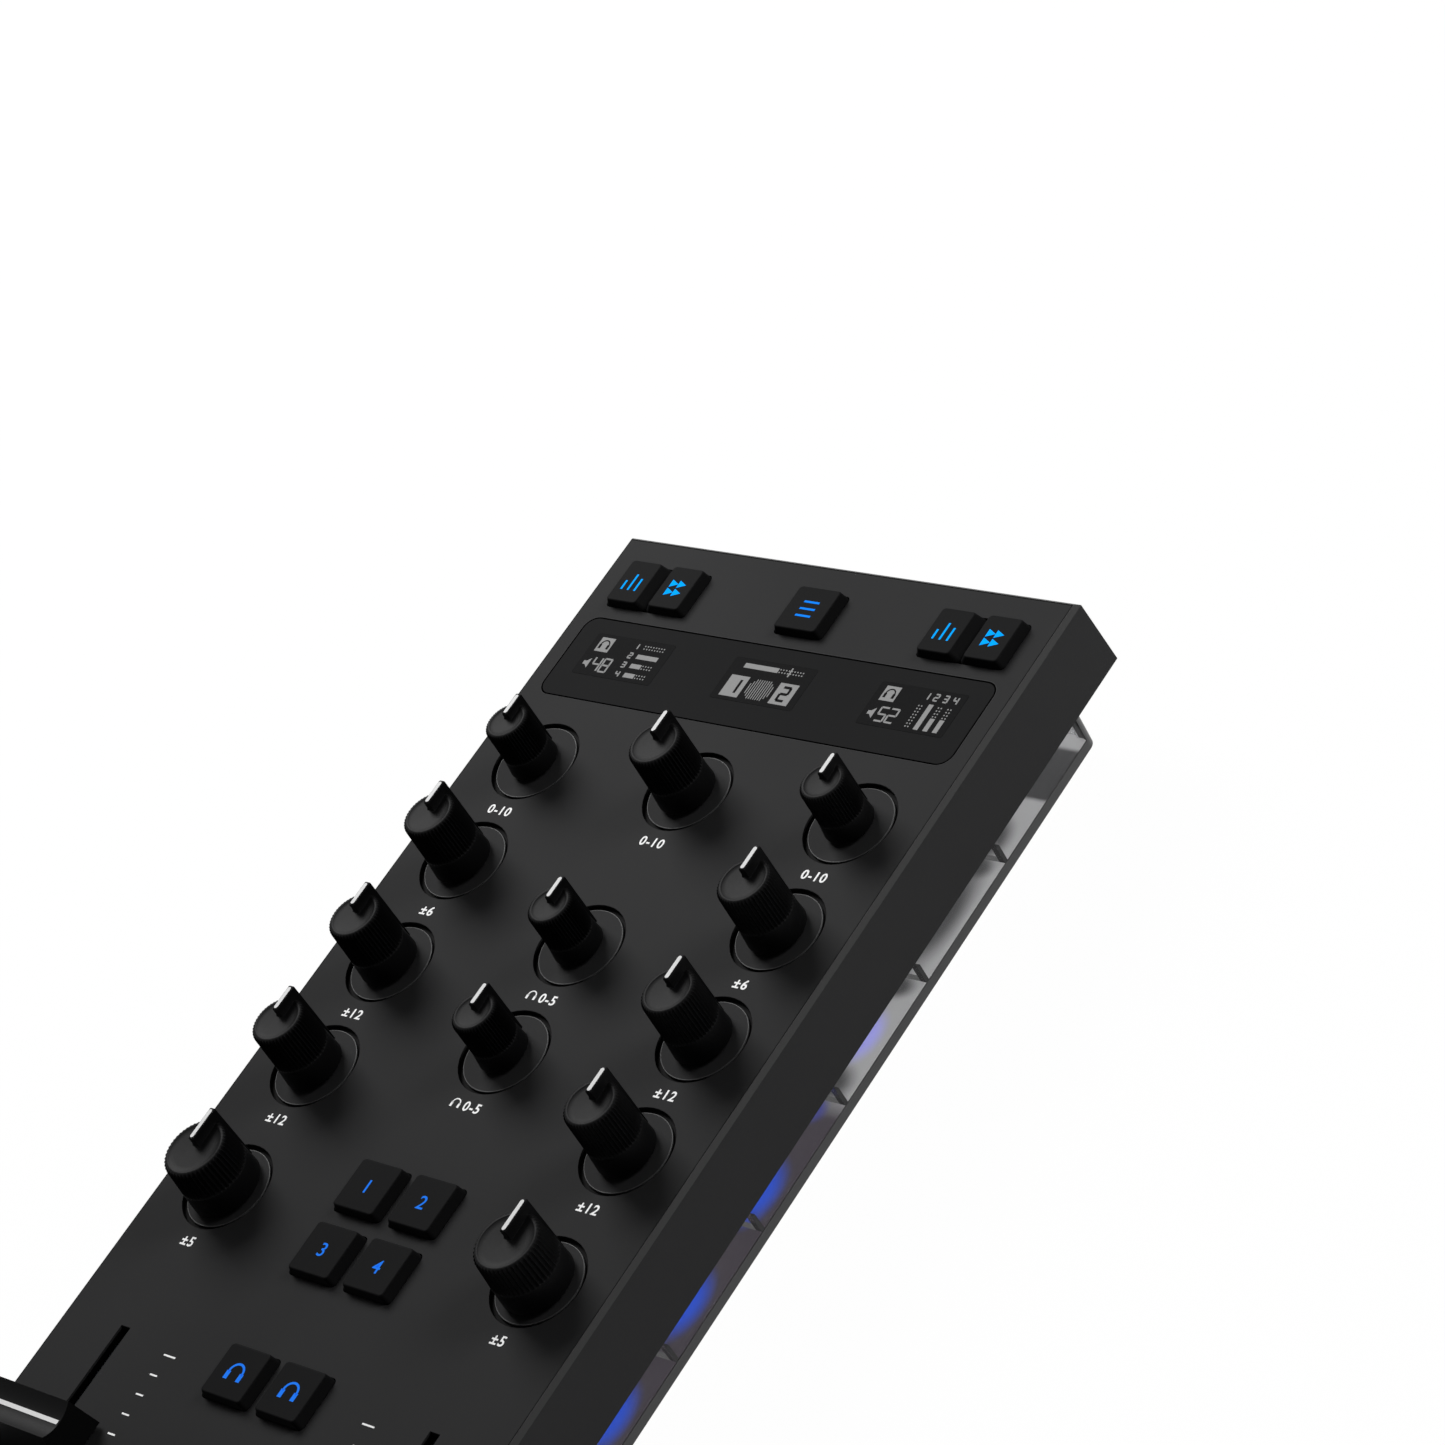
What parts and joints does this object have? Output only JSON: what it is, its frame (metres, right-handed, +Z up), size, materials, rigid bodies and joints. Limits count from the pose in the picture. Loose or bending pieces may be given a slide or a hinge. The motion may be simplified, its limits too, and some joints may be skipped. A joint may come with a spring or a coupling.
{
  "type": "dj mixer",
  "caption": "Slim tabletop dj mixer with turning knobs, push buttons, sliding faders and small displays on a dark panel, standing on a smoked light base.",
  "frame": {"origin": "on the table under the middle of the mixer", "axes": "+X to the player's right, +Y to the rear, +Z up"},
  "size_m": [0.1212, 0.294, 0.0517],
  "materials": {
    "shell": "fine matt grain",
    "panel": "matt black coat",
    "window": "satin dark sheet",
    "display": "dark glass module",
    "chassis": "black coat",
    "board": "green solder mask",
    "control_case": "plain",
    "switch_case": "plain",
    "socket_plastic": "plain black",
    "socket_metal": "plated",
    "smoked_plastic": "smoked clear",
    "foot_rubber": "matt",
    "screw_steel": "black plated",
    "knob": "matt black",
    "button": "satin black",
    "shaft_metal": "turned"
  },
  "bodies": {
    "mixer": {"top_shell": "shell", "top_panel": "panel", "display_window": "window", "displays": "display", "chassis_plate": "chassis", "main_board": "board", "pot_bodies": "control_case", "switch_bodies": "switch_case", "fader_bodies": "control_case", "rear_plate": "shell", "main_out_jack": "socket_plastic", "headphone_jack": "socket_plastic", "usb_socket": "socket_metal", "light_base": "smoked_plastic", "light_strips": "board", "rubber_feet": "foot_rubber", "case_screws": "screw_steel"},
    "knob_gain_a": {"knob_gain_a": "knob", "shaft_gain_a": "shaft_metal"},
    "knob_gain_b": {"knob_gain_b": "knob", "shaft_gain_b": "shaft_metal"},
    "knob_main": {"knob_main": "knob", "shaft_main": "shaft_metal"},
    "knob_high_a": {"knob_high_a": "knob", "shaft_high_a": "shaft_metal"},
    "knob_high_b": {"knob_high_b": "knob", "shaft_high_b": "shaft_metal"},
    "knob_mid_a": {"knob_mid_a": "knob", "shaft_mid_a": "shaft_metal"},
    "knob_mid_b": {"knob_mid_b": "knob", "shaft_mid_b": "shaft_metal"},
    "knob_low_a": {"knob_low_a": "knob", "shaft_low_a": "shaft_metal"},
    "knob_low_b": {"knob_low_b": "knob", "shaft_low_b": "shaft_metal"},
    "knob_cue_mix": {"knob_cue_mix": "knob", "shaft_cue_mix": "shaft_metal"},
    "knob_cue_volume": {"knob_cue_volume": "knob", "shaft_cue_volume": "shaft_metal"},
    "knob_filter_a": {"knob_filter_a": "knob", "shaft_filter_a": "shaft_metal"},
    "knob_filter_b": {"knob_filter_b": "knob", "shaft_filter_b": "shaft_metal"},
    "button_view_a": {"button_view_a": "button"},
    "button_deck_a": {"button_deck_a": "button"},
    "button_menu": {"button_menu": "button"},
    "button_deck_b": {"button_deck_b": "button"},
    "button_view_b": {"button_view_b": "button"},
    "button_effect_1": {"button_effect_1": "button"},
    "button_effect_2": {"button_effect_2": "button"},
    "button_effect_3": {"button_effect_3": "button"},
    "button_effect_4": {"button_effect_4": "button"},
    "button_cue_a": {"button_cue_a": "button"},
    "button_cue_b": {"button_cue_b": "button"},
    "fader_a": {"fader_a_cap": "knob", "fader_a_lever": "shaft_metal"},
    "fader_b": {"fader_b_cap": "knob", "fader_b_lever": "shaft_metal"},
    "crossfader": {"crossfader_cap": "knob", "crossfader_lever": "shaft_metal"}
  },
  "joints": [
    {"name": "turn_gain_a", "type": "hinge", "parent": "mixer", "child": "knob_gain_a", "pos_m": [-0.04234, 0.08658, 0.035], "axis": [0, 0, -1], "range_deg": [-150, 150]},
    {"name": "turn_gain_b", "type": "hinge", "parent": "mixer", "child": "knob_gain_b", "pos_m": [0.04234, 0.08658, 0.035], "axis": [0, 0, -1], "range_deg": [-150, 150]},
    {"name": "turn_main", "type": "hinge", "parent": "mixer", "child": "knob_main", "pos_m": [0, 0.08658, 0.035], "axis": [0, 0, -1], "range_deg": [-150, 150]},
    {"name": "turn_high_a", "type": "hinge", "parent": "mixer", "child": "knob_high_a", "pos_m": [-0.04234, 0.06024, 0.035], "axis": [0, 0, -1], "range_deg": [-150, 150]},
    {"name": "turn_high_b", "type": "hinge", "parent": "mixer", "child": "knob_high_b", "pos_m": [0.04234, 0.06024, 0.035], "axis": [0, 0, -1], "range_deg": [-150, 150]},
    {"name": "turn_mid_a", "type": "hinge", "parent": "mixer", "child": "knob_mid_a", "pos_m": [-0.04234, 0.0339, 0.035], "axis": [0, 0, -1], "range_deg": [-150, 150]},
    {"name": "turn_mid_b", "type": "hinge", "parent": "mixer", "child": "knob_mid_b", "pos_m": [0.04234, 0.0339, 0.035], "axis": [0, 0, -1], "range_deg": [-150, 150]},
    {"name": "turn_low_a", "type": "hinge", "parent": "mixer", "child": "knob_low_a", "pos_m": [-0.04234, 0.00756, 0.035], "axis": [0, 0, -1], "range_deg": [-150, 150]},
    {"name": "turn_low_b", "type": "hinge", "parent": "mixer", "child": "knob_low_b", "pos_m": [0.04234, 0.00756, 0.035], "axis": [0, 0, -1], "range_deg": [-150, 150]},
    {"name": "turn_cue_mix", "type": "hinge", "parent": "mixer", "child": "knob_cue_mix", "pos_m": [0, 0.04727, 0.035], "axis": [0, 0, -1], "range_deg": [-150, 150]},
    {"name": "turn_cue_volume", "type": "hinge", "parent": "mixer", "child": "knob_cue_volume", "pos_m": [0, 0.02093, 0.035], "axis": [0, 0, -1], "range_deg": [-150, 150]},
    {"name": "turn_filter_a", "type": "hinge", "parent": "mixer", "child": "knob_filter_a", "pos_m": [-0.04234, -0.0222, 0.035], "axis": [0, 0, -1], "range_deg": [-150, 150]},
    {"name": "turn_filter_b", "type": "hinge", "parent": "mixer", "child": "knob_filter_b", "pos_m": [0.04234, -0.0222, 0.035], "axis": [0, 0, -1], "range_deg": [-150, 150]},
    {"name": "press_view_a", "type": "slide", "parent": "mixer", "child": "button_view_a", "axis": [0, 0, -1], "range_m": [0, 0.0008], "stiffness_N_per_m": 600},
    {"name": "press_deck_a", "type": "slide", "parent": "mixer", "child": "button_deck_a", "axis": [0, 0, -1], "range_m": [0, 0.0008], "stiffness_N_per_m": 600},
    {"name": "press_menu", "type": "slide", "parent": "mixer", "child": "button_menu", "axis": [0, 0, -1], "range_m": [0, 0.0008], "stiffness_N_per_m": 600},
    {"name": "press_deck_b", "type": "slide", "parent": "mixer", "child": "button_deck_b", "axis": [0, 0, -1], "range_m": [0, 0.0008], "stiffness_N_per_m": 600},
    {"name": "press_view_b", "type": "slide", "parent": "mixer", "child": "button_view_b", "axis": [0, 0, -1], "range_m": [0, 0.0008], "stiffness_N_per_m": 600},
    {"name": "press_effect_1", "type": "slide", "parent": "mixer", "child": "button_effect_1", "axis": [0, 0, -1], "range_m": [0, 0.0008], "stiffness_N_per_m": 600},
    {"name": "press_effect_2", "type": "slide", "parent": "mixer", "child": "button_effect_2", "axis": [0, 0, -1], "range_m": [0, 0.0008], "stiffness_N_per_m": 600},
    {"name": "press_effect_3", "type": "slide", "parent": "mixer", "child": "button_effect_3", "axis": [0, 0, -1], "range_m": [0, 0.0008], "stiffness_N_per_m": 600},
    {"name": "press_effect_4", "type": "slide", "parent": "mixer", "child": "button_effect_4", "axis": [0, 0, -1], "range_m": [0, 0.0008], "stiffness_N_per_m": 600},
    {"name": "press_cue_a", "type": "slide", "parent": "mixer", "child": "button_cue_a", "axis": [0, 0, -1], "range_m": [0, 0.0008], "stiffness_N_per_m": 600},
    {"name": "press_cue_b", "type": "slide", "parent": "mixer", "child": "button_cue_b", "axis": [0, 0, -1], "range_m": [0, 0.0008], "stiffness_N_per_m": 600},
    {"name": "slide_fader_a", "type": "slide", "parent": "mixer", "child": "fader_a", "axis": [0, 1, 0], "range_m": [-0.0225, 0.0225]},
    {"name": "slide_fader_b", "type": "slide", "parent": "mixer", "child": "fader_b", "axis": [0, 1, 0], "range_m": [-0.0225, 0.0225]},
    {"name": "slide_crossfader", "type": "slide", "parent": "mixer", "child": "crossfader", "axis": [1, 0, 0], "range_m": [-0.0225, 0.0225]}
  ]
}
